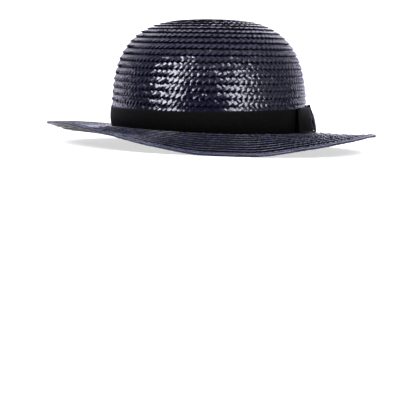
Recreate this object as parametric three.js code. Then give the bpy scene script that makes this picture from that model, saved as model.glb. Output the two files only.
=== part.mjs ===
// A straw bowler hat. Rows of plaited straw are sewn into an oval crown and a curled brim, a ribbon band
// covers the seam where the two meet, and a flat bow of the same ribbon sits on the wearer's left.
//
// Millimetres, +Z up. The hat stands on the front and back of its brim at Z = 0. Its front faces -Y and the
// wearer's left is +X. Angles round the hat are counted from the front towards the wearer's left.

import * as THREE from "three";

const { clamp, degToRad, euclideanModulo, lerp, radToDeg, smoothstep } = THREE.MathUtils;

// The straw.
const STRAW_WALL = 2;
const ROW_PITCH = 5.9; // visible height of one row of plait
const ROW_STEP = 0.7; // each row's outer edge stands this far over the next row
const ROW_UNDERCUT = 0.5; // length over which the step falls back
const SEWING_GAP = 0.3; // between pieces that lie on each other

// The crown, an oval dome.
const HEAD_HALF_WIDTH = 84.2; // outside of the crown at its foot, across the head
const OVAL_EXTRA = 16.4; // the head oval is longer than wide by this much on each half
const CROWN_HEIGHT = 94.5; // from the brim to the tip
const CROWN_SQUARENESS = 3.1; // 2 would be a plain half ellipse, more gives a squarer shoulder
const LEAN_SIDE = Math.tan(degToRad(2.1)); // the crown leans to the wearer's right
const LEAN_FRONT = Math.tan(degToRad(1.8)); // and to the front
const LEAN_FULL_AT = 12; // height over which its lowest rows take up the lean
const CROWN_ASIDE = 1.9; // the crown sits this far to the wearer's right of the middle of the brim
const CROWN_SEGMENTS = 48;
const INSIDE_POINTS = 11; // points down the smooth inside of the crown

// The brim. Its edge dips at the front and back, where it rests, and curls up at the sides.
const BRIM_HEIGHT = 15.6; // of its upper side where it meets the crown
const BRIM_WIDTH = 59;
const BRIM_SEGMENTS = 60;
const EDGE_ROLL = 3; // width of the rolled edge row
const EDGE_THICKNESS = 2.4;
const EDGE_ROUND = 0.7;
const COLLAR_HEIGHT = 9; // sewn up inside the crown
const COLLAR_WALL = 1.6;
const COLLAR_FILLET = 0.4;
const UNDERSIDE_POINTS = 7;
const GUTTER_SHIFT = 1.5; // over 1 moves the hollow of the curl out towards the edge

// Sections of the brim round the hat. at: degrees from the front, by way of the wearer's left.
// edge: height of the underside of the edge. gutter: depth of the hollow inside the curl.
const BRIM_SECTIONS = [
  { at: 6.5, edge: 0, gutter: 0 },
  { at: 27, edge: 6, gutter: 0 },
  { at: 45, edge: 11.3, gutter: 0.4 },
  { at: 66, edge: 14.9, gutter: 1.2 },
  { at: 92, edge: 12, gutter: 0.5 },
  { at: 120, edge: 9, gutter: 0.2 },
  { at: 150, edge: 3.8, gutter: 0 },
  { at: 173.5, edge: 0, gutter: 0 },
  { at: 186.5, edge: 0, gutter: 0 },
  { at: 212, edge: 10, gutter: 0.4 },
  { at: 235, edge: 13.2, gutter: 3 },
  { at: 268, edge: 15, gutter: 4.4 },
  { at: 298, edge: 17, gutter: 4.5 },
  { at: 318, edge: 12.4, gutter: 2.7 },
  { at: 336, edge: 5, gutter: 0.2 },
  { at: 353.5, edge: 0, gutter: 0 },
];

// The ribbon, its band and bow.
const RIBBON = 1; // thickness
const BAND_HEIGHT = 20.6;
const BAND_ROUND = 0.25; // how far the ribbon's edges round off
const BOW_AT = degToRad(81); // the middle of the bow, a little in front of the wearer's left side
const BOW_HALF_LENGTH = 52;
const BOW_HEIGHT = 19.2;
const BOW_FOOT = 1.7; // of the loops above the brim
const BOW_STEPS = 8; // along each half of the loops
const RIBBON_STEPS = 3; // across the width of the ribbon
const LOOP_DEPTH = 4.2; // front to back of a loop
const WAIST_DEPTH = 2.4; // where the knot gathers the loops
const WAIST_BACK = RIBBON + 2 * SEWING_GAP; // room behind the waist for the knot
const WAIST_HALF_LENGTH = 8;
const LOOP_FULL_AT = 24; // distance from the middle at which a loop has its full depth
const KNOT_HALF_LENGTH = 6.5;
const BOW_SPREAD_FOOT = 1.45; // the bow stands off more at its foot
const BOW_SPREAD_TOP = 0.7;

// The rise of the crown's outside, from its tip down to its foot.
class CrownArch extends THREE.Curve {
  getPoint(share, target = new THREE.Vector2()) {
    const turn = (1 - share) * (Math.PI / 2);
    const power = 2 / CROWN_SQUARENESS;
    const out = Math.max(0, Math.cos(turn));
    return target.set(HEAD_HALF_WIDTH * out ** power, CROWN_HEIGHT * Math.sin(turn) ** power);
  }
}

// A point so far down the arch and so far out from its surface.
function onArch(arch, length, out) {
  const share = clamp(length / arch.getLength(), 0, 1);
  const point = arch.getPointAt(share);
  if (share === 0) return point.setY(point.y + out);
  if (share === 1) return point.setX(point.x + out);
  const along = arch.getTangentAt(share);
  return new THREE.Vector2(point.x - along.y * out, point.y + along.x * out);
}

// The half length of the oval that goes with a half width, so that the crown closes to a point at its tip
// and the brim keeps one width all round.
function ovalLength(halfWidth) {
  return halfWidth + OVAL_EXTRA * Math.min(1, halfWidth / HEAD_HALF_WIDTH);
}

// Puts a point at a half width, an angle round the hat and a height above the foot of the crown.
function onOval(halfWidth, angle, height) {
  const x = halfWidth * Math.sin(angle);
  const y = -ovalLength(halfWidth) * Math.cos(angle);
  const up = Math.max(0, height);
  const lift = (LEAN_SIDE * x + LEAN_FRONT * y) * clamp(up / LEAN_FULL_AT, 0, 1);
  const aside = CROWN_ASIDE * clamp(1 - (halfWidth - HEAD_HALF_WIDTH) / BRIM_WIDTH, 0, 1);
  return [x - LEAN_SIDE * up - aside, y - LEAN_FRONT * up, BRIM_HEIGHT + height + lift];
}

// Revolves a profile of half widths and heights, moves each point to where the hat has it and raises it.
function latheOval(profile, segments, riseAt = () => 0) {
  const geometry = new THREE.LatheGeometry(profile, segments);
  const position = geometry.attributes.position;
  for (let i = 0; i < position.count; i++) {
    const halfWidth = Math.hypot(position.getX(i), position.getZ(i));
    const angle = Math.atan2(position.getX(i), position.getZ(i));
    const [x, y, z] = onOval(halfWidth, angle, position.getY(i));
    position.setXYZ(i, x, y, z + riseAt(halfWidth - HEAD_HALF_WIDTH, angle));
  }
  geometry.computeVertexNormals();
  return geometry;
}

// Crown: plaited straw, each row standing a little over the one below it, smooth inside and under the band.
function makeCrown() {
  const arch = new CrownArch();
  arch.arcLengthDivisions = 600;
  const full = arch.getLength();
  const rows = Math.floor((full - BAND_HEIGHT) / ROW_PITCH);
  const profile = [onArch(arch, 0, 0)];
  for (let row = 1; row <= rows; row++) {
    profile.push(onArch(arch, row * ROW_PITCH - ROW_UNDERCUT, ROW_STEP));
    profile.push(onArch(arch, row * ROW_PITCH, 0));
  }
  profile.push(new THREE.Vector2(HEAD_HALF_WIDTH, SEWING_GAP));
  profile.push(new THREE.Vector2(HEAD_HALF_WIDTH - STRAW_WALL, SEWING_GAP));
  for (let i = INSIDE_POINTS - 1; i >= 0; i--) {
    profile.push(onArch(arch, (full * i) / INSIDE_POINTS, -STRAW_WALL));
  }
  return latheOval(profile.reverse(), CROWN_SEGMENTS);
}

// The slope of a column of the brim's sections from one section to the next.
function rate(column, i) {
  const count = BRIM_SECTIONS.length;
  const from = BRIM_SECTIONS[(i + count) % count];
  const to = BRIM_SECTIONS[(i + 1 + count) % count];
  return (to[column] - from[column]) / ((to.at - from.at + 360) % 360);
}

// The slope at a section, which is level where the column turns, so that nothing overshoots.
function slopeAt(column, i) {
  const before = rate(column, i - 1);
  const after = rate(column, i);
  return before * after > 0 ? (2 * before * after) / (before + after) : 0;
}

// A column of the brim's sections at any angle, with a smooth run from each section to the next.
function atSection(column, angle) {
  const count = BRIM_SECTIONS.length;
  const at = euclideanModulo(radToDeg(angle), 360);
  const next = BRIM_SECTIONS.findIndex((section) => section.at > at);
  const i = (next + count - 1 + (next < 0)) % count;
  const from = BRIM_SECTIONS[i];
  const to = BRIM_SECTIONS[(i + 1) % count];
  const span = euclideanModulo(to.at - from.at, 360);
  const t = euclideanModulo(at - from.at, 360) / span;
  const ease = t * t * (3 - 2 * t);
  const bend = slopeAt(column, i) * t * (1 - t) ** 2 - slopeAt(column, (i + 1) % count) * t * t * (1 - t);
  return lerp(from[column], to[column], ease) + span * bend;
}

// How far the brim has risen or fallen at a distance out from the crown. The rolled edge row lies level.
function brimRise(out, angle) {
  const share = clamp(out / (BRIM_WIDTH - EDGE_ROLL), 0, 1);
  const edge = atSection("edge", angle) + EDGE_THICKNESS;
  const hollow = Math.sin(Math.PI * share ** GUTTER_SHIFT);
  return (edge - BRIM_HEIGHT) * share - atSection("gutter", angle) * hollow;
}

// Brim: plaited straw, rows outside, a rolled edge and a collar that goes up inside the crown.
function makeBrim() {
  const outline = [];
  const add = (out, height) => outline.push(new THREE.Vector2(HEAD_HALF_WIDTH + out, height));
  const collar = -STRAW_WALL - SEWING_GAP;
  const rollAt = BRIM_WIDTH - EDGE_ROLL;
  const rows = Math.floor(rollAt / ROW_PITCH);
  const pitch = rollAt / rows;
  add(collar - COLLAR_WALL, COLLAR_HEIGHT);
  add(collar, COLLAR_HEIGHT);
  add(collar, 0);
  add(0, 0);
  for (let row = 1; row <= rows; row++) {
    add(row * pitch - ROW_UNDERCUT, row === 1 ? 0 : ROW_STEP);
    add(row * pitch, 0);
  }
  add(BRIM_WIDTH - EDGE_ROUND, 0);
  add(BRIM_WIDTH, -EDGE_ROUND);
  add(BRIM_WIDTH, -EDGE_THICKNESS + EDGE_ROUND);
  add(BRIM_WIDTH - EDGE_ROUND, -EDGE_THICKNESS);
  add(rollAt, -EDGE_THICKNESS);
  for (let i = UNDERSIDE_POINTS - 1; i >= 0; i--) {
    add((rollAt * i) / UNDERSIDE_POINTS, -STRAW_WALL);
  }
  add(collar, -STRAW_WALL + COLLAR_FILLET);
  add(collar - COLLAR_WALL, COLLAR_FILLET);
  outline.push(outline[0].clone());
  return latheOval(outline.reverse(), BRIM_SEGMENTS, brimRise);
}

// Hat band: one turn of ribbon round the foot of the crown, its upper edge along a row of the straw.
function makeBand() {
  const inside = HEAD_HALF_WIDTH + SEWING_GAP;
  const outside = inside + RIBBON;
  const foot = 2 * SEWING_GAP;
  const middle = (foot + BAND_HEIGHT) / 2;
  const outline = [
    new THREE.Vector2(inside, foot),
    new THREE.Vector2(outside - BAND_ROUND, foot),
    new THREE.Vector2(outside, foot + BAND_ROUND),
    new THREE.Vector2(outside, middle),
    new THREE.Vector2(outside, BAND_HEIGHT - BAND_ROUND),
    new THREE.Vector2(outside - BAND_ROUND, BAND_HEIGHT),
    new THREE.Vector2(inside, BAND_HEIGHT),
    new THREE.Vector2(inside, middle),
    new THREE.Vector2(inside, foot),
  ];
  return latheOval(outline, CROWN_SEGMENTS);
}

// A point on the wearer's left side of the band: so far along it to the front, out from it and up.
function onBand(along, out, up) {
  const outside = HEAD_HALF_WIDTH + 2 * SEWING_GAP + RIBBON;
  const spread = lerp(BOW_SPREAD_FOOT, BOW_SPREAD_TOP, clamp(up / BOW_HEIGHT, 0, 1));
  const angle = BOW_AT - along / ovalLength(HEAD_HALF_WIDTH);
  return onOval(outside + out * spread, angle, BOW_FOOT + up);
}

// A ribbon of a width that runs once round a closed path. lay turns the path's two directions and the
// distance across the ribbon into the distances along the band, out from it and up.
function wrapRibbon(path, segments, width, lay) {
  const outline = [];
  const half = RIBBON / 2;
  for (let i = 0; i <= RIBBON_STEPS; i++) {
    outline.push(new THREE.Vector2(RIBBON + half, (width * i) / RIBBON_STEPS));
  }
  for (let i = RIBBON_STEPS; i >= 0; i--) {
    outline.push(new THREE.Vector2(RIBBON - half, (width * i) / RIBBON_STEPS));
  }
  outline.push(outline[0].clone());
  const geometry = new THREE.LatheGeometry(outline, segments);
  const position = geometry.attributes.position;
  for (let i = 0; i < position.count; i++) {
    const off = Math.hypot(position.getX(i), position.getZ(i)) - RIBBON;
    const turn = Math.atan2(position.getX(i), position.getZ(i)) / (2 * Math.PI);
    const share = euclideanModulo(Math.round(turn * segments), segments) / segments;
    const at = path.getPoint(share);
    const ahead = path.getTangent(share);
    const place = lay(at.x + ahead.y * off, at.y - ahead.x * off, position.getY(i));
    position.setXYZ(i, ...onBand(...place));
  }
  geometry.computeVertexNormals();
  return geometry;
}

// How full a loop is at a distance from the middle of the bow: 0 at the waist, 1 where it is full.
function fullness(along) {
  return smoothstep(Math.abs(along), WAIST_HALF_LENGTH, LOOP_FULL_AT);
}

// Bow, folded ribbon: two flat loops gathered at the middle.
function makeBowLoops() {
  const back = [];
  const front = [];
  for (let i = -BOW_STEPS; i <= BOW_STEPS; i++) {
    const along = ((BOW_HALF_LENGTH - LOOP_DEPTH / 2) * i) / BOW_STEPS;
    const inner = lerp(WAIST_BACK, 0, fullness(along));
    const outer = lerp(WAIST_BACK + WAIST_DEPTH, LOOP_DEPTH, fullness(along));
    back.push(new THREE.Vector3(along, inner + RIBBON / 2));
    front.push(new THREE.Vector3(along, outer - RIBBON / 2));
  }
  const fold = BOW_HALF_LENGTH - RIBBON / 2;
  back.push(new THREE.Vector3(fold, LOOP_DEPTH / 2));
  front.unshift(new THREE.Vector3(-fold, LOOP_DEPTH / 2));
  const path = new THREE.CatmullRomCurve3([...back, ...front.reverse()], true);
  return wrapRibbon(path, 2 * path.points.length, BOW_HEIGHT, (along, out, up) => [along, out, up]);
}

// Bow, knot: a short ribbon that goes once round the waist of the loops, straight from corner to corner.
function makeBowKnot() {
  const clear = SEWING_GAP + RIBBON / 2;
  const back = WAIST_BACK - clear;
  const front = WAIST_BACK + WAIST_DEPTH + clear;
  const corners = [];
  for (let i = 0; i <= RIBBON_STEPS; i++) {
    corners.push(new THREE.Vector3(front, lerp(-clear, BOW_HEIGHT + clear, i / RIBBON_STEPS)));
  }
  for (let i = RIBBON_STEPS; i >= 0; i--) {
    corners.push(new THREE.Vector3(back, lerp(-clear, BOW_HEIGHT + clear, i / RIBBON_STEPS)));
  }
  const path = new THREE.CatmullRomCurve3(corners, true, "catmullrom", 0);
  const lay = (out, up, across) => [across - KNOT_HALF_LENGTH, out, up];
  return wrapRibbon(path, corners.length, 2 * KNOT_HALF_LENGTH, lay);
}

const STRAW = new THREE.MeshStandardMaterial({ color: 0x23233f, roughness: 0.4 });
const GROSGRAIN = new THREE.MeshStandardMaterial({ color: 0x111012, roughness: 0.8 });

function piece(name, geometry, material) {
  const mesh = new THREE.Mesh(geometry, material);
  mesh.name = name;
  return mesh;
}

const hat = new THREE.Group();
hat.name = "straw_bowler_hat";
hat.add(piece("crown", makeCrown(), STRAW));
hat.add(piece("brim", makeBrim(), STRAW));
hat.add(piece("band", makeBand(), GROSGRAIN));
hat.add(piece("bow_loops", makeBowLoops(), GROSGRAIN));
hat.add(piece("bow_knot", makeBowKnot(), GROSGRAIN));

export default hat;
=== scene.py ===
import math

import bpy
import numpy as np
from mathutils import Matrix


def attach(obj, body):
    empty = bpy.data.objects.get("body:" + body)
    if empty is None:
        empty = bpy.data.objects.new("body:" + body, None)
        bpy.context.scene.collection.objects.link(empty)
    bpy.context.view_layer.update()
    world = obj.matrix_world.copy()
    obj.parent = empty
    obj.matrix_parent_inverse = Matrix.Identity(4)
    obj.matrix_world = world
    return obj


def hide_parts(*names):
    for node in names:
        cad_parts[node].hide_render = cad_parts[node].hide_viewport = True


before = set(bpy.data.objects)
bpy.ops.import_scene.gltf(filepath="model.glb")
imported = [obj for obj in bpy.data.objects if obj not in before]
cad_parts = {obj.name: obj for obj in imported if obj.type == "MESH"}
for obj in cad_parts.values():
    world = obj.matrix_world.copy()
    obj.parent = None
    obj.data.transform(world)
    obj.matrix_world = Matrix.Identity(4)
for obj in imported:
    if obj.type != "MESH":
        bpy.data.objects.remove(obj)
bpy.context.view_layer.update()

bpy.ops.object.select_all(action="DESELECT")

# The crown. One long plait of three strands, each of two flat straws, is dyed navy and sewn round and round
# from the tip down to the foot. Each turn laps over the one below it, so that the rows step like shingles.
# The straws that show are glossy with lacquer, and those underneath take a darker, duller copy of the straw,
# a painted shade.
millimetre = 0.001
head_half_width = 84.2
oval_extra = 16.4
crown_height = 94.5
crown_squareness = 3.2
lean_side = math.tan(math.radians(2.1))
lean_front = math.tan(math.radians(1.8))
lean_full_at = 12
crown_aside = 1.9
brim_height = 15.6
brim_width = 59


def oval_length(half_width):
    return half_width + oval_extra * np.minimum(1, half_width / head_half_width)


def on_oval(half_width, angle, height):
    """Millimetre points at a half width, an angle from the front to the wearer's left, and a height."""
    x = half_width * np.sin(angle)
    y = -oval_length(half_width) * np.cos(angle)
    up = np.maximum(0, height)
    lift = (lean_side * x + lean_front * y) * np.clip(up / lean_full_at, 0, 1)
    aside = crown_aside * np.clip(1 - (half_width - head_half_width) / brim_width, 0, 1)
    return np.stack([x - lean_side * up - aside, y - lean_front * up, brim_height + height + lift], -1)


strands = 3
straws = 2 * strands
straw_lift = 0.55
straw_half_width = 0.6
straw_half_thickness = 0.18
straw_beside = 0.62
straw_widths = (0.9, 1.08)
straw_stray = 0.05
straw_twist = 0.16
# The corners of a straw's section, each with its side of the straw and its face.
straw_corners = ((1, 1), (-1, 1), (-1, -1), (1, -1))
streaks_apart = 7.0


def skin(first, after, corners):
    """Faces between rings of points, from the first point of each ring and of the ring after it."""
    return [np.stack([first + c, after + c, after + (c + 1) % corners, first + (c + 1) % corners], -1)
            for c in range(corners)]


def plait(length, reach, slope, closed, place, rng, shade_share, crossing=1 / 6, painted_lap_shade=0, both_sides=False):
    """A flat plait of three strands, each of two straws side by side, over one and under one.

    place turns the distances along the row, across it and out from it into points, and the share function
    gives the share of the straws underneath so far along that take a darker, duller copy of the straw, a
    painted shade.
    The strands cross at a share of the reach from the middle. Gives the points, the faces, a tone for each
    point, its place along and across its own straw, and the faces that take the painted shade. With a lap
    share, a row's tone runs lighter towards its raised outer edge and darker towards its tucked inner edge,
    a painted highlight and painted shade. Where both_sides is set, the undersides take the glossy straw as
    well, save those under the straws that lie on top.
    """
    turns = round(length * slope / (2 * reach))
    period = length / turns
    swing = np.array([0.5, crossing, -crossing, -0.5, -crossing, crossing]) * reach
    rise = np.array([0, 1, -1, 0, 1, -1]) * straw_lift
    slant = np.array([0, -1, -1, 0, 1, 1]) * math.atan(slope)
    step = np.arange(len(swing)) / len(swing)
    rings = turns * len(step)
    each = (straws, rings)
    strand = np.repeat(np.arange(strands), 2)[:, None]
    beside = np.tile([1.0, -1.0], strands)[:, None] * straw_beside + np.zeros((1, rings))
    along = (np.repeat(np.arange(turns), len(step)) + np.tile(step, turns) + strand / strands) * period
    across = np.tile(swing, turns) + rng.normal(0, straw_stray, each)
    out = np.tile(rise, turns) + rng.normal(0, straw_stray, each)
    heading = np.tile(slant, turns) + rng.normal(0, straw_stray, each)
    roll = rng.normal(0, straw_twist, each)
    half = straw_half_width * rng.uniform(*straw_widths, each)
    points = []
    for side, face in straw_corners:
        flat = beside + side * half * np.cos(roll) - face * straw_half_thickness * np.sin(roll)
        tip = side * half * np.sin(roll) + face * straw_half_thickness * np.cos(roll)
        points.append(place(along - flat * np.sin(heading), across + flat * np.cos(heading), out + tip))
    points = np.stack(points, 2).reshape(-1, 3)
    corners = len(straw_corners)
    strip = np.arange(straws)[:, None] * rings
    ring = strip + np.arange(rings)
    next_ring = strip + (np.arange(rings) + 1) % rings
    if not closed:
        ring, next_ring = ring[:, :-1], next_ring[:, :-1]
    ring, next_ring = ring.ravel(), next_ring.ravel()
    faces = skin(ring * corners, next_ring * corners, corners)
    if not closed:
        faces.append(strip * corners + np.array([[0, 1, 2, 3]]))
        faces.append((strip + rings - 1) * corners + np.array([[3, 2, 1, 0]]))
    faces = np.concatenate(faces)
    # The lap share of the tone runs lighter towards the raised outer edge and darker towards the tucked
    # inner edge: painted highlight and painted shade.
    tone = (1 - painted_lap_shade) * rng.uniform(0, 1, each) + painted_lap_shade * np.clip(0.5 + across / reach, 0, 1)
    fibre = np.stack([
        np.repeat(along.ravel() * math.hypot(1, slope), corners),
        np.tile([float(side) for side, face in straw_corners], straws * rings),
        np.repeat(np.arange(straws), rings * corners) * streaks_apart,
    ], -1)
    level = out.ravel()[ring] + out.ravel()[next_ring]
    # Straws underneath, and by default every side and underside, take a darker, duller copy of the straw:
    # painted shade.
    shade_picked = rng.uniform(0, 1, len(ring)) < shade_share(along.ravel()[ring])
    # Of the four lots of faces, the first are the straws' outer sides and the third their undersides.
    shade_faces = np.ones(len(faces), bool)
    shade_faces[:len(ring)] = (level < -0.5 * straw_lift) & shade_picked
    if both_sides:
        shade_faces[2 * len(ring):3 * len(ring)] = level > 0.5 * straw_lift
    return points, faces, np.repeat(tone.ravel(), corners), fibre, shade_faces


strip_pace = 4
strip_inset = 0.7
strip_tuck = 1.2
strip_gap = 0.12
strip_thickness = 0.2
strip_tone = 0.3


def tucked_edge(length, reach, step, level, closed, place):
    """The flat middle of a row of plait, and its inner edge tucked up behind the row that laps over it."""
    rings = int(length / strip_pace)
    spans = rings if closed else rings - 1
    half = reach / 2 + straw_beside + straw_half_width
    along = (np.arange(rings) / spans * length)[:, None]
    across = np.array([half - strip_inset, strip_inset - half, -half - strip_tuck])
    across = np.concatenate([across, across[::-1]])[None, :]
    out = level + (step(along) - strip_gap) * np.array([0, 0, 1])
    out = np.concatenate([out, out[:, ::-1] - strip_thickness], 1)
    along, across, out = np.broadcast_arrays(along, across, out)
    points = place(along, across, out).reshape(-1, 3)
    corners = across.shape[1]
    first = np.arange(spans) * corners
    faces = skin(first, (first + corners) % (rings * corners), corners)
    if not closed:
        faces.append(np.array([[0, 1, 4, 5], [1, 2, 3, 4]]))
        faces.append((rings - 1) * corners + np.array([[5, 4, 1, 0], [4, 3, 2, 1]]))
    faces = np.concatenate(faces)
    fibre = np.stack([along, across, out], -1).reshape(-1, 3)
    # All of the tucked edge takes the darker, duller copy of the straw, a painted shade.
    return points, faces, np.full(len(points), strip_tone), fibre, np.ones(len(faces), bool)


def keep_attribute(mesh, name, values):
    """Keeps a number or a vector for each point of a mesh, for its material to read."""
    kind, key = ("FLOAT", "value") if values.ndim == 1 else ("FLOAT_VECTOR", "vector")
    mesh.attributes.new(name, kind, "POINT").data.foreach_set(key, values.astype(np.float32).ravel())


def select_only(piece):
    bpy.ops.object.select_all(action="DESELECT")
    piece.select_set(True)
    bpy.context.view_layer.objects.active = piece


def straw_piece(name, rows, crisp):
    """Joins rows of plait into one mesh, in metres, with its tone and fibre kept as attributes.

    Edges over the crisp angle stay sharp, the rest are smooth.
    """
    points, faces, tone, fibre, shade_faces = zip(*rows)
    starts = np.cumsum([0] + [len(row) for row in points])
    points = np.concatenate(points) * millimetre
    faces = np.concatenate([row + start for row, start in zip(faces, starts)])
    mesh = bpy.data.meshes.new(name)
    mesh.vertices.add(len(points))
    mesh.vertices.foreach_set("co", points.astype(np.float32).ravel())
    mesh.loops.add(faces.size)
    mesh.loops.foreach_set("vertex_index", faces.astype(np.int32).ravel())
    mesh.polygons.add(len(faces))
    mesh.polygons.foreach_set("loop_start", np.arange(0, faces.size, faces.shape[1], dtype=np.int32))
    keep_attribute(mesh, "tone", np.concatenate(tone))
    keep_attribute(mesh, "fibre", np.concatenate(fibre))
    # Faces with painted shade take the second material, a darker, duller copy of the straw.
    mesh.polygons.foreach_set("material_index", np.concatenate(shade_faces).astype(np.int32))
    mesh.update(calc_edges=True)
    mesh.validate()
    piece = bpy.data.objects.new(name, mesh)
    bpy.context.collection.objects.link(piece)
    select_only(piece)
    bpy.ops.object.shade_smooth_by_angle(angle=crisp)
    piece.select_set(False)
    return piece


def run_along(line):
    """The distance along a line from its first point to each of its points."""
    return np.concatenate([[0], np.cumsum(np.linalg.norm(np.diff(line, axis=0), axis=1))])


arch_points = 6001
arch_turn = np.linspace(math.pi / 2, 0, arch_points)
arch = np.stack([head_half_width * np.abs(np.cos(arch_turn)) ** (2 / crown_squareness),
                 crown_height * np.abs(np.sin(arch_turn)) ** (2 / crown_squareness)], -1)
arch_run, kept = np.unique(run_along(arch), return_index=True)
arch = arch[kept]
ahead = np.gradient(arch, arch_run, axis=0)
arch_out = np.stack([-ahead[:, 1], ahead[:, 0]], -1) / np.hypot(*ahead.T)[:, None]
least_run = 0.2
least_width = 0.05


def on_crown(run, angle, out):
    """Points so far down the crown from its tip, round it and out from it."""
    run = np.clip(run, least_run, arch_run[-1])
    width = np.interp(run, arch_run, arch[:, 0]) + out * np.interp(run, arch_run, arch_out[:, 0])
    height = np.interp(run, arch_run, arch[:, 1]) + out * np.interp(run, arch_run, arch_out[:, 1])
    return on_oval(np.maximum(width, least_width), angle, height)


row_pitch = 5.9
row_reach = 5
row_slope = 0.68
row_width = 7.4
row_depth = -0.25
row_tilt = 1.0
tip_tilt = 0.5
tilt_runs = (25, 80)
tip_press = 0.45
# The share of the straws underneath painted in shade over the tip.
tip_shade_share = 0.4
press_runs = (58, 92)
# How far the sewing wanders, over what length and from where in the wave.
row_wobbles = ((0.14, 17, 0), (0.12, 41, 1))
spiral_start = 4.2
spiral_points = 720
spiral_turns = (arch_run[-1] - spiral_start) / row_pitch
spiral_angle = np.linspace(0, 2 * math.pi * spiral_turns, int(spiral_points * spiral_turns))
spiral_run = spiral_start + row_pitch * spiral_angle / (2 * math.pi) - row_width / 2
spiral_length = run_along(on_crown(spiral_run, spiral_angle, 0))


def down_crown(along, runs, values):
    """A value so far along the plait that changes between two distances down the crown from its tip."""
    return np.interp(np.interp(along, spiral_length, spiral_run), runs, values)


def tilt_at(along):
    """How far a row's lower edge stands out, less near the tip, where the rows lie flatter."""
    return down_crown(along, tilt_runs, (tip_tilt, row_tilt))


def press_at(along):
    """How much of its relief the plait keeps, less over the tip, where it was pressed flat."""
    return down_crown(along, press_runs, (tip_press, 1))


def step_at(along):
    """How far out the tucked edge stands to lie behind the row before it, ahead of the pressing."""
    return 2 * tilt_at(along) * row_pitch / row_width / press_at(along)


def shade_share_at(along):
    """The share of the straws underneath that take the painted shade, a darker, duller copy of the straw,
    less over the tip.
    """
    return down_crown(along, press_runs, (tip_shade_share, 1))


def on_spiral(along, across, out):
    """Points so far along the sewn plait, across it towards the foot and out from it."""
    angle = np.interp(along, spiral_length, spiral_angle)
    run = np.interp(along, spiral_length, spiral_run)
    wobble = sum(size * np.sin(along / wave + start) for size, wave, start in row_wobbles)
    pressed = press_at(along)
    lap = row_depth + straw_lift * (1 - pressed) + tilt_at(along) * across / (row_width / 2)
    return on_crown(run + across + wobble, angle, lap + out * pressed)


tip_round = 48
tip_round_middle = 3


def on_tip(along, across, out):
    """Points on the small round of straw under the tip, where the plait begins."""
    return on_crown(tip_round_middle + across, along / tip_round * 2 * math.pi, out)


crown_crisp = math.radians(45)
crown_strip_level = -0.45
tip_strip_level = -0.5
crown_rng = np.random.default_rng(11)
crown = straw_piece("crown_plait", [
    plait(spiral_length[-1], row_reach, row_slope, False, on_spiral, crown_rng, shade_share_at),
], crown_crisp)
crown_tuck = straw_piece("crown_tucked_edge", [
    tucked_edge(spiral_length[-1], row_reach, step_at, crown_strip_level, False, on_spiral),
    tucked_edge(tip_round, row_reach, np.zeros_like, tip_strip_level, True, on_tip),
], crown_crisp)

# Streaks along the fibre, which vary the dye, the gloss and the grain of every straw.
straw_fibre = bpy.data.node_groups.new("straw_fibre", "ShaderNodeTree")
straw_fibre.interface.new_socket("Fibre", in_out="INPUT", socket_type="NodeSocketVector")
for socket in ("Tone", "Tone Share", "Smoothest", "Roughest"):
    straw_fibre.interface.new_socket(socket, in_out="INPUT", socket_type="NodeSocketFloat")
for socket in ("Dye", "Roughness"):
    straw_fibre.interface.new_socket(socket, in_out="OUTPUT", socket_type="NodeSocketFloat")
straw_fibre.interface.new_socket("Normal", in_out="OUTPUT", socket_type="NodeSocketVector")
nodes, links = straw_fibre.nodes, straw_fibre.links
given = nodes.new("NodeGroupInput")
result = nodes.new("NodeGroupOutput")
stretch = nodes.new("ShaderNodeMapping")
stretch.inputs["Scale"].default_value = (0.25, 2.2, 1)
streaks = nodes.new("ShaderNodeTexNoise")
streaks.inputs["Scale"].default_value = 1.6
streaks.inputs["Detail"].default_value = 3
blend = nodes.new("ShaderNodeMath")
blend.operation = "MULTIPLY_ADD"
gloss = nodes.new("ShaderNodeMapRange")
grain = nodes.new("ShaderNodeBump")
grain.inputs["Strength"].default_value = 0.25
grain.inputs["Distance"].default_value = 0.12 * millimetre
links.new(given.outputs["Fibre"], stretch.inputs["Vector"])
links.new(stretch.outputs["Vector"], streaks.inputs["Vector"])
links.new(given.outputs["Tone"], blend.inputs[0])
links.new(given.outputs["Tone Share"], blend.inputs[1])
links.new(streaks.outputs["Fac"], blend.inputs[2])
links.new(streaks.outputs["Fac"], gloss.inputs["Value"])
links.new(given.outputs["Smoothest"], gloss.inputs["To Min"])
links.new(given.outputs["Roughest"], gloss.inputs["To Max"])
links.new(streaks.outputs["Fac"], grain.inputs["Height"])
links.new(blend.outputs["Value"], result.inputs["Dye"])
links.new(gloss.outputs["Result"], result.inputs["Roughness"])
links.new(grain.outputs["Normal"], result.inputs["Normal"])
lacquer_tint = (0.84, 0.86, 1, 1)


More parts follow.
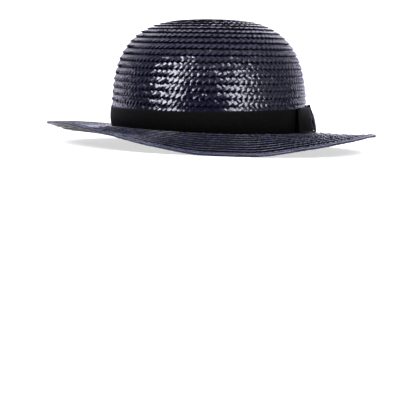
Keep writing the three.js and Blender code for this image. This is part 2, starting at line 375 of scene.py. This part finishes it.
def straw_finish(name, dark, light, smoothest, roughest, specular, tone_share=0.45, dye_range=(0.2, 0.95)):
    """Dyed straw with streaks along its fibre, from a dark and a light dye and the gloss of its lacquer."""
    finish = bpy.data.materials.new(name)
    finish.use_nodes = True
    nodes, links = finish.node_tree.nodes, finish.node_tree.links
    shader = nodes["Principled BSDF"]
    fibre = nodes.new("ShaderNodeGroup")
    fibre.node_tree = straw_fibre
    fibre.inputs["Tone Share"].default_value = tone_share
    fibre.inputs["Smoothest"].default_value = smoothest
    fibre.inputs["Roughest"].default_value = roughest
    for attribute, output, socket in (("tone", "Fac", "Tone"), ("fibre", "Vector", "Fibre")):
        own = nodes.new("ShaderNodeAttribute")
        own.attribute_name = attribute
        links.new(own.outputs[output], fibre.inputs[socket])
    dye = nodes.new("ShaderNodeValToRGB")
    for end, position, colour in zip(dye.color_ramp.elements, dye_range, (dark, light)):
        end.position = position
        end.color = (*colour, 1)
    links.new(fibre.outputs["Dye"], dye.inputs["Fac"])
    links.new(dye.outputs["Color"], shader.inputs["Base Color"])
    links.new(fibre.outputs["Roughness"], shader.inputs["Roughness"])
    links.new(fibre.outputs["Normal"], shader.inputs["Normal"])
    shader.inputs["Specular IOR Level"].default_value = specular
    shader.inputs["Specular Tint"].default_value = lacquer_tint
    return finish


straw = straw_finish(
    "lacquered_navy_straw", dark=(0.001, 0.0011, 0.0034), light=(0.0042, 0.0045, 0.0125),
    smoothest=0.08, roughest=0.22, specular=0.32)
# A darker, duller copy of the straw for faces underneath, at the sides and tucked away: painted shade.
shaded_straw = straw_finish(
    "painted_shade_navy_straw", dark=(0.0006, 0.0007, 0.002), light=(0.002, 0.0022, 0.006),
    smoothest=0.5, roughest=0.7, specular=0.06)
for piece in (crown, crown_tuck):
    piece.data.materials.append(straw)
    piece.data.materials.append(shaded_straw)
    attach(piece, "root")
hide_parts("crown")

# The brim. The same plait, in a navy painted lighter for the light that falls on it from above, is sewn flat
# in nine rows, each over the next one out and with a straw along its outer edge, then blocked so that it
# dips at the front and back and curls up at the sides.
# One more row stands up as a collar inside the foot of the crown.
edge_roll = 3
edge_thickness = 2.4
gutter_shift = 1.5
# Degrees from the front by way of the wearer's left, height of the edge's underside, depth of the gutter.
brim_sections = np.array([
    (6.5, 0, 0), (27, 6, 0), (45, 11.3, 0.4), (66, 14.9, 1.2), (92, 12, 0.5), (120, 9, 0.2),
    (150, 3.8, 0), (173.5, 0, 0), (186.5, 0, 0), (212, 10, 0.4), (235, 13.2, 3), (268, 15, 4.4),
    (298, 17, 4.5), (318, 12.4, 2.7), (336, 5, 0.2), (353.5, 0, 0),
])


def at_section(column, angle):
    """A column of the brim's sections at any angle, with a smooth run from each section to the next."""
    at, value = brim_sections[:, 0], brim_sections[:, column]
    span = (np.roll(at, -1) - at) % 360
    rate = (np.roll(value, -1) - value) / span
    before = np.roll(rate, 1)
    level = before * rate <= 0
    slope = np.where(level, 0, 2 * before * rate / np.where(level, 1, before + rate))
    degrees = np.degrees(angle) % 360
    i = np.searchsorted(at, degrees, side="right") - 1
    j = (i + 1) % len(at)
    t = ((degrees - at[i]) % 360) / span[i]
    bend = slope[i] * t * (1 - t) ** 2 - slope[j] * t * t * (1 - t)
    return value[i] + (value[j] - value[i]) * t * t * (3 - 2 * t) + span[i] * bend


def on_brim(out, angle, height):
    """Points so far out from the crown, round the hat and above the upper side of the brim."""
    share = np.clip(out / (brim_width - edge_roll), 0, 1)
    edge = at_section(1, angle) + edge_thickness
    rise = (edge - brim_height) * share - at_section(2, angle) * np.sin(math.pi * share ** gutter_shift)
    points = on_oval(head_half_width + out, angle, np.zeros_like(out))
    points[..., 2] += rise + height
    return points


edge_straw_pace = 3
edge_straw_half_width = 0.4
edge_straw_stray = 0.06
edge_straw_lit_tones = (0.45, 1.3)


def edge_straw(length, across, level, place, rng):
    """The straw that runs along the outer edge of a closed row, where its strands turn back."""
    rings = int(length / edge_straw_pace)
    corners = len(straw_corners)
    side, face = np.array(straw_corners).T
    along = (np.arange(rings) / rings * length)[:, None]
    across = across + rng.normal(0, edge_straw_stray, (rings, 1)) + side * edge_straw_half_width
    out = level + rng.normal(0, straw_stray, (rings, 1)) + face * straw_half_thickness
    along, across, out = np.broadcast_arrays(along, across, out)
    points = place(along, across, out).reshape(-1, 3)
    first = np.arange(rings) * corners
    faces = np.concatenate(skin(first, (first + corners) % (rings * corners), corners))
    # Its tones vary at random but run lighter than the plait's, a painted highlight along each row's raised
    # outer edge.
    tone = np.repeat(rng.uniform(*edge_straw_lit_tones, rings), corners)
    fibre = np.stack([along, np.sign(across), out], -1).reshape(-1, 3)
    return points, faces, tone, fibre, np.zeros(len(faces), bool)


brim_crossing = 0.33
# A brim row's tone runs lighter towards its raised outer edge and darker towards its tucked inner edge by
# this share, a painted highlight and painted shade.
brim_painted_lap_shade = 0.8
brim_strip_level = 0.1
row_start_apart = 0.7
ring_points = 1441
ring_angle = np.linspace(0, 2 * math.pi, ring_points)


def brim_row(middle, reach, width, tilt, depth, seed, step):
    """One closed row of plait round the brim, with its tucked edge and the straw along its outer edge."""
    run = run_along(on_brim(np.full_like(ring_angle, middle), ring_angle, 0))
    start = seed * row_start_apart
    rng = np.random.default_rng(seed)

    def place(along, across, out):
        angle = np.interp(along % run[-1], run, ring_angle) + start
        return on_brim(middle + across, angle, depth + tilt * across / (width / 2) + out)

    def tuck(along):
        return np.full_like(along, step)

    return [
        plait(run[-1], reach, row_slope, True, place, rng, np.ones_like, brim_crossing, brim_painted_lap_shade, True),
        tucked_edge(run[-1], reach, tuck, brim_strip_level, True, place),
        edge_straw(run[-1], reach / 2 + straw_beside, straw_lift / 2, place, rng),
    ]


brim_rows = 9
brim_reach = 5.3
brim_row_width = 7.7
brim_depth = -0.7
brim_tilt = 1.05
brim_seed = 20
brim_pitch = (brim_width - edge_roll) / brim_rows
brim_step = 2 * brim_tilt * brim_pitch / brim_row_width
rows = []
for i in range(brim_rows):
    middle = brim_pitch * (i + 1) - brim_row_width / 2
    rows += brim_row(middle, brim_reach, brim_row_width, brim_tilt, brim_depth, brim_seed + i, brim_step)


def oval_round(half_width):
    """The length of the way round the hat at a half width."""
    line = on_oval(half_width, ring_angle, np.zeros_like(ring_angle))
    return np.linalg.norm(np.diff(line, axis=0), axis=1).sum()


collar_half_width = head_half_width - 3.3
collar_middle = 3.8
collar_reach = 7.5
collar_length = oval_round(collar_half_width)
collar_rng = np.random.default_rng(40)


def on_collar(along, across, out):
    """Points so far along the collar, down across it and out from it."""
    angle = along / collar_length * 2 * math.pi
    return on_oval(collar_half_width + out, angle, collar_middle - across)


rows.append(plait(collar_length, collar_reach, row_slope, True, on_collar, collar_rng, np.ones_like))
rows.append(tucked_edge(collar_length, collar_reach, np.zeros_like, 0, True, on_collar))
brim_crisp = math.pi
brim = straw_piece("brim_plait", rows, brim_crisp)
# The brim's straw is dyed lighter than the crown's, painted light for the light that falls on the brim from
# above.
lit_brim_straw = straw_finish(
    "painted_light_brim_straw", dark=(0.003, 0.0032, 0.007), light=(0.056, 0.058, 0.093),
    smoothest=0.12, roughest=0.28, specular=0.2, tone_share=0.4, dye_range=(0.5, 1))
brim.data.materials.append(lit_brim_straw)
brim.data.materials.append(shaded_straw)
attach(brim, "root")
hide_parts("brim")

# The edge of the brim. The last row is turned under and sewn double, an upper and a lower narrow plait of
# the brim's own straw, which makes a firm rolled edge.
edge_reach = 2.6
edge_row_width = 5
edge_middle = brim_width - edge_row_width / 2
edge_tilt = 0.25
upper_depth = -0.35
lower_depth = -1.4
upper_seed = 50
lower_seed = 51
edge_rows = brim_row(edge_middle, edge_reach, edge_row_width, -edge_tilt, upper_depth, upper_seed, 0)
edge_rows += brim_row(edge_middle, edge_reach, edge_row_width, edge_tilt, lower_depth, lower_seed, 0)
brim_edge = straw_piece("brim_edge_plait", edge_rows, brim_crisp)
brim_edge.data.materials.append(lit_brim_straw)
brim_edge.data.materials.append(shaded_straw)
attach(brim_edge, "root")

# The hat band. One turn of black grosgrain ribbon, woven with fine upright ribs and firm edges, is drawn
# round the foot of the crown over the seam and bellies out a little between its edges.
ribbon = 0.8
rib_pitch = 1.15
rib_relief = 0.11
rib_columns = 4
ribbon_levels = np.array([0, 0.03, 0.08, 0.3, 0.5, 0.7, 0.92, 0.97, 1.0])
ribbon_crisp = math.radians(50)
woven_edge = 0.06


def ribbon_sheet(name, columns):
    """A tube of ribbon with that many columns of points. Gives it with each point's column and level."""
    bpy.ops.object.select_all(action="DESELECT")
    bpy.ops.mesh.primitive_cylinder_add(vertices=columns, radius=1, depth=1, end_fill_type="NOTHING")
    piece = bpy.context.object
    piece.name = piece.data.name = name
    bpy.ops.object.mode_set(mode="EDIT")
    bpy.ops.mesh.select_all(action="DESELECT")
    bpy.ops.mesh.select_mode(type="EDGE")
    bpy.ops.object.mode_set(mode="OBJECT")
    points = np.empty(len(piece.data.vertices) * 3, np.float32)
    piece.data.vertices.foreach_get("co", points)
    height = points.reshape(-1, 3)[:, 2]
    ends = np.empty(len(piece.data.edges) * 2, np.int32)
    piece.data.edges.foreach_get("vertices", ends)
    upright = np.abs(np.diff(height[ends.reshape(-1, 2)], axis=1)).ravel() > 0.5
    piece.data.edges.foreach_set("select", upright)
    bpy.ops.object.mode_set(mode="EDIT")
    bpy.ops.mesh.subdivide(number_cuts=len(ribbon_levels) - 2)
    bpy.ops.object.mode_set(mode="OBJECT")
    points = np.empty(len(piece.data.vertices) * 3, np.float32)
    piece.data.vertices.foreach_get("co", points)
    points = points.reshape(-1, 3)
    column = np.round(np.arctan2(points[:, 0], -points[:, 1]) / (2 * math.pi) * columns) % columns
    level = np.interp(points[:, 2] + 0.5, np.linspace(0, 1, len(ribbon_levels)), ribbon_levels)
    return piece, column, level


def firmness(level):
    """Nought at the two woven edges of a ribbon, and one between them."""
    return np.clip(np.minimum(level, 1 - level) / woven_edge, 0, 1)


def rib_height(column):
    return rib_relief * np.sin(column * math.pi / 2)


def finish_ribbon(piece, points, rib, across):
    """Puts a ribbon's points, in millimetres, in place, gives it thickness and weave, and smooths it."""
    mesh = piece.data
    mesh.vertices.foreach_set("co", (points * millimetre).astype(np.float32).ravel())
    mesh.update()
    keep_attribute(mesh, "rib", rib)
    keep_attribute(mesh, "across", across)
    select_only(piece)
    wall = piece.modifiers.new("wall", "SOLIDIFY")
    wall.thickness = ribbon * millimetre
    wall.offset = -1
    bpy.ops.object.modifier_apply(modifier=wall.name)
    bpy.ops.object.shade_smooth_by_angle(angle=ribbon_crisp)
    piece.select_set(False)
    piece.data.materials.append(grosgrain)
    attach(piece, "root")


grosgrain = bpy.data.materials.new("black_grosgrain")
grosgrain.use_nodes = True
nodes, links = grosgrain.node_tree.nodes, grosgrain.node_tree.links
shader = nodes["Principled BSDF"]
rib = nodes.new("ShaderNodeAttribute")
rib.attribute_name = "rib"
across = nodes.new("ShaderNodeAttribute")
across.attribute_name = "across"
thread_place = nodes.new("ShaderNodeCombineXYZ")
threads = nodes.new("ShaderNodeTexNoise")
threads.inputs["Scale"].default_value = 2.2
threads.inputs["Detail"].default_value = 2
weave = nodes.new("ShaderNodeValToRGB")
weave.color_ramp.elements[0].position = 0.3
weave.color_ramp.elements[0].color = (0.0005, 0.0004, 0.0005, 1)
weave.color_ramp.elements[1].position = 0.75
weave.color_ramp.elements[1].color = (0.0015, 0.0012, 0.0015, 1)
nap = nodes.new("ShaderNodeBump")
nap.inputs["Strength"].default_value = 0.3
nap.inputs["Distance"].default_value = 0.08 * millimetre
links.new(rib.outputs["Fac"], thread_place.inputs["X"])
links.new(across.outputs["Fac"], thread_place.inputs["Y"])
links.new(thread_place.outputs["Vector"], threads.inputs["Vector"])
links.new(threads.outputs["Fac"], weave.inputs["Fac"])
links.new(weave.outputs["Color"], shader.inputs["Base Color"])
links.new(threads.outputs["Fac"], nap.inputs["Height"])
links.new(nap.outputs["Normal"], shader.inputs["Normal"])
shader.inputs["Roughness"].default_value = 0.52
shader.inputs["Specular IOR Level"].default_value = 0.034

band_foot = 0.6
band_height = 20.6
band_width = band_height - band_foot
band_inside = head_half_width + 0.3
band_belly = 0.9
belly_share = 0.8
# How far the belly slackens and tightens, how many times round, and from where in the wave.
band_slacks = ((0.18, 3, 1), (0.12, 7, 2))
edge_rib_share = 0.3
edge_draw = 0.12
top_wave = 0.15
top_waves = 5
bow_at = math.radians(81)
flat_under_bow = math.radians(30)
flat_fade = 0.2
band_round = oval_round(band_inside)
band_columns = round(band_round / rib_pitch) * rib_columns
band, column, level = ribbon_sheet("hat_band", band_columns)
angle = column / band_columns * 2 * math.pi
firm = firmness(level)
slack = sum(size * np.sin(waves * angle + start) for size, waves, start in band_slacks)
free = np.clip((np.abs(angle - bow_at) - flat_under_bow) / flat_fade, 0, 1)
stand = ribbon + band_belly * np.sin(math.pi * level) * (belly_share + slack) * free
stand = stand + rib_height(column) * (edge_rib_share + (1 - edge_rib_share) * firm) - edge_draw * (1 - firm)
height = band_foot + band_width * level + top_wave * np.sin(top_waves * angle) * level
points = on_oval(band_inside + stand, angle, height)
finish_ribbon(band, points, column / rib_columns, level * band_width)
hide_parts("band")

# The bow's loops. A length of the same ribbon is folded into two flat loops and gathered at the middle. They
# lie along the band on the wearer's left and stand off it more at the foot.
bow_half_length = 52
bow_height = 19.2
bow_foot = 1.7
bow_outside = head_half_width + 1.6
bow_spread_foot = 1.56
bow_spread_top = 0.48
corner_softenings = 3


def on_band(along, out, up):
    """Points so far along the band to the front, out from it and up, on the wearer's left."""
    spread = bow_spread_foot + (bow_spread_top - bow_spread_foot) * np.clip(up / bow_height, 0, 1)
    return on_oval(bow_outside + out * spread, bow_at - along / oval_length(head_half_width), bow_foot + up)


def path_round(corners, count):
    """Even points on a closed path with softened corners, the directions outward, and the path's length."""
    corners = np.concatenate([corners, corners[:1]])
    run = run_along(corners)
    even = np.arange(count) / count * run[-1]
    line = np.stack([np.interp(even, run, corners[:, i]) for i in range(2)], -1)
    for _ in range(corner_softenings):
        line = (np.roll(line, 1, axis=0) + 2 * line + np.roll(line, -1, axis=0)) / 4
    heading = np.roll(line, -1, axis=0) - np.roll(line, 1, axis=0)
    heading /= np.hypot(*heading.T)[:, None]
    return line, np.stack([heading[:, 1], -heading[:, 0]], -1), run[-1]


half_ribbon = ribbon / 2
loop_depth = 4.2
loop_full_at = 24
loop_fan = 0.07
loop_points = 121
fold_points = 9
waist_depth = 1.9
waist_back = 1.6
waist_half_length = 8
gather_depth = 0.4
gather_waves = 5
gather_draw = 0.1
gather_from = 6
gather_fade = 26
fold_middle = bow_half_length - loop_depth / 2
fold_radius = loop_depth / 2 - half_ribbon
fold_turn = np.linspace(-math.pi / 2, math.pi / 2, fold_points)[1:-1]
fold = np.stack([fold_middle + fold_radius * np.cos(fold_turn),
                 loop_depth / 2 + fold_radius * np.sin(fold_turn)], -1)
loop_along = np.linspace(-fold_middle, fold_middle, loop_points)
full = np.clip((np.abs(loop_along) - waist_half_length) / (loop_full_at - waist_half_length), 0, 1)
full = full * full * (3 - 2 * full)
loop_back = waist_back * (1 - full) + half_ribbon
loop_front = (waist_back + waist_depth) * (1 - full) + loop_depth * full - half_ribbon
loop_corners = np.concatenate([
    np.stack([loop_along, loop_back], -1), fold,
    np.stack([loop_along, loop_front], -1)[::-1], (fold * (-1, 1))[::-1],
])
loop_columns = round(run_along(loop_corners)[-1] / rib_pitch) * rib_columns
loops, column, level = ribbon_sheet("bow_loops_ribbon", loop_columns)
line, outward, loop_length = path_round(loop_corners, loop_columns)
column = column.astype(int)
along, out = line[column].T
gather = 1 - np.clip((np.abs(along) - gather_from) / gather_fade, 0, 1)
offset = half_ribbon + rib_height(column) * firmness(level)
offset = offset + gather_depth * gather * np.sin(level * gather_waves * math.pi)
along = along + outward[column, 0] * offset
out = out + outward[column, 1] * offset
up = bow_height * (0.5 + (level - 0.5) * (1 - gather_draw * gather))
along = along * (1 + loop_fan * (0.5 - level))
finish_ribbon(loops, on_band(along, out, up), column / rib_columns, level * bow_height)
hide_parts("bow_loops")

# The bow's knot. A short piece of the same ribbon goes once round the waist of the loops, with its ends sewn
# behind. It swells over the middle of its face and is drawn in along its edges.
knot_half_length = 6.5
knot_belly = 1
knot_pinch = 0.5
knot_draw = 0.08
knot_face_beyond = 1
knot_clear = 0.3 + half_ribbon
knot_back = waist_back - knot_clear
knot_front = waist_back + waist_depth + knot_clear
knot_corners = np.array([
    (knot_back, -knot_clear), (knot_front, -knot_clear),
    (knot_front, bow_height + knot_clear), (knot_back, bow_height + knot_clear),
])
knot_way_round = 2 * (knot_front - knot_back + bow_height + 2 * knot_clear)
knot_columns = round(knot_way_round / rib_pitch) * rib_columns
knot, column, level = ribbon_sheet("bow_knot_ribbon", knot_columns)
line, outward, knot_length = path_round(knot_corners, knot_columns)
column = column.astype(int)
out, up = line[column].T
front = np.clip((out - knot_back) / (knot_front - knot_back), 0, 1)
crest = np.sin(math.pi * level)
face_share = np.clip((up + knot_face_beyond) / (bow_height + 2 * knot_face_beyond), 0, 1)
face = np.sqrt(np.sin(math.pi * face_share))
offset = half_ribbon + rib_height(column) * firmness(level)
offset = offset + front * face * (knot_belly * crest - knot_pinch * (1 - crest))
out = out + outward[column, 0] * offset
up = up + outward[column, 1] * offset
drawn = 1 - knot_draw * np.sin(math.pi * np.clip(up / bow_height, 0, 1))
along = (level - 0.5) * 2 * knot_half_length * drawn
finish_ribbon(knot, on_band(along, out, up), column / rib_columns, level * 2 * knot_half_length)
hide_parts("bow_knot")

# The studio. Pale paper lies on the floor and stands behind the hat, where it glows less the higher it is.
# Two large soft lights stand left and right of the camera, a dim one fills in from the far right, and a wide
# one hangs overhead.
paper_size = 8
paper_roughness = 0.9


def studio_paper(name, finish_name, location, rotation, colour, glow_colour):
    """A wide sheet of matt paper that glows. Gives it with the nodes and links of its finish."""
    bpy.ops.object.select_all(action="DESELECT")
    bpy.ops.mesh.primitive_plane_add(size=paper_size, location=location, rotation=rotation)
    paper = bpy.context.object
    paper.name = name
    bpy.ops.object.transform_apply(location=True, rotation=True, scale=True)
    finish = bpy.data.materials.new(finish_name)
    finish.use_nodes = True
    shader = finish.node_tree.nodes["Principled BSDF"]
    shader.inputs["Base Color"].default_value = (*colour, 1)
    shader.inputs["Roughness"].default_value = paper_roughness
    shader.inputs["Emission Color"].default_value = (*glow_colour, 1)
    paper.data.materials.append(finish)
    return paper, finish.node_tree.nodes, finish.node_tree.links


floor, nodes, links = studio_paper(
    "studio_floor", "pale_paper", location=(0, -1.6, 0), rotation=(0, 0, 0),
    colour=(0.4, 0.4, 0.405), glow_colour=(1, 1, 1))
shader = nodes["Principled BSDF"]
shader.inputs["Specular IOR Level"].default_value = 0.1
shader.inputs["Emission Strength"].default_value = 0.64
backdrop, nodes, links = studio_paper(
    "studio_backdrop", "lit_paper", location=(0, 2.4, 3.6), rotation=(math.pi / 2, 0, 0),
    colour=(0.3, 0.3, 0.3), glow_colour=(0.85, 0.81, 1))
shader = nodes["Principled BSDF"]
place = nodes.new("ShaderNodeTexCoord")
height = nodes.new("ShaderNodeSeparateXYZ")
glow = nodes.new("ShaderNodeMapRange")
glow.inputs["From Min"].default_value = 0.5
glow.inputs["From Max"].default_value = 2.2
glow.inputs["To Min"].default_value = 2.5
glow.inputs["To Max"].default_value = 0.8
links.new(place.outputs["Object"], height.inputs["Vector"])
links.new(height.outputs["Z"], glow.inputs["Value"])
links.new(glow.outputs["Result"], shader.inputs["Emission Strength"])
lit_height = 0.06


def softbox(name, azimuth, elevation, distance, width, height, watts):
    """A large soft light that faces the hat from an azimuth counted from the front."""
    light = bpy.data.lights.new(name, "AREA")
    light.shape = "RECTANGLE"
    light.size = width
    light.size_y = height
    light.energy = watts
    lamp = bpy.data.objects.new(name, light)
    bpy.context.collection.objects.link(lamp)
    turn = Matrix.Rotation(math.radians(azimuth), 4, "Z")
    turned = turn @ Matrix.Rotation(math.radians(90 - elevation), 4, "X")
    away = Matrix.Translation((0, 0, distance))
    lamp.matrix_world = Matrix.Translation((0, 0, lit_height)) @ turned @ away


softbox("left_softbox", azimuth=-67, elevation=42, distance=1.5, width=0.55, height=1.05, watts=60)
softbox("right_softbox", azimuth=38, elevation=42, distance=1.5, width=0.6, height=1.05, watts=49)
softbox("right_fill", azimuth=82, elevation=45, distance=1.5, width=1.2, height=1.6, watts=6)
softbox("top_softbox", azimuth=0, elevation=82, distance=2.2, width=2.4, height=2.4, watts=19)

world = bpy.data.worlds.new("studio_surround")
bpy.context.scene.world = world
world.use_nodes = True
surround = world.node_tree.nodes["Background"]
surround.inputs["Color"].default_value = (0.95, 0.96, 1, 1)
surround.inputs["Strength"].default_value = 0.06

# The camera stands low in front, a little to the wearer's right, and looks slightly down, so that the hat is
# in the upper half of the picture. Its lens and dip come from lengths in a picture 416 pixels wide and high.
picture_size = 416
picture_focus = 1192
picture_horizon = 92
camera_azimuth = math.radians(-5)
camera_distance = 1.05
camera_height = 0.048
camera_dip = math.atan((picture_size / 2 - picture_horizon) / picture_focus)
camera_roll = math.radians(2.1)
camera_data = bpy.data.cameras.new("camera")
camera_data.sensor_width = 36
camera_data.lens = picture_focus / picture_size * camera_data.sensor_width
camera = bpy.data.objects.new("camera", camera_data)
bpy.context.collection.objects.link(camera)
camera.matrix_world = (
    Matrix.Rotation(camera_azimuth, 4, "Z")
    @ Matrix.Translation((0, -camera_distance, camera_height))
    @ Matrix.Rotation(math.pi / 2 - camera_dip, 4, "X")
    @ Matrix.Rotation(camera_roll, 4, "Z")
)
bpy.context.scene.camera = camera
bpy.context.scene.view_settings.view_transform = "Standard"
bpy.context.scene.cycles.denoising_prefilter = "ACCURATE"

bpy.context.view_layer.update()
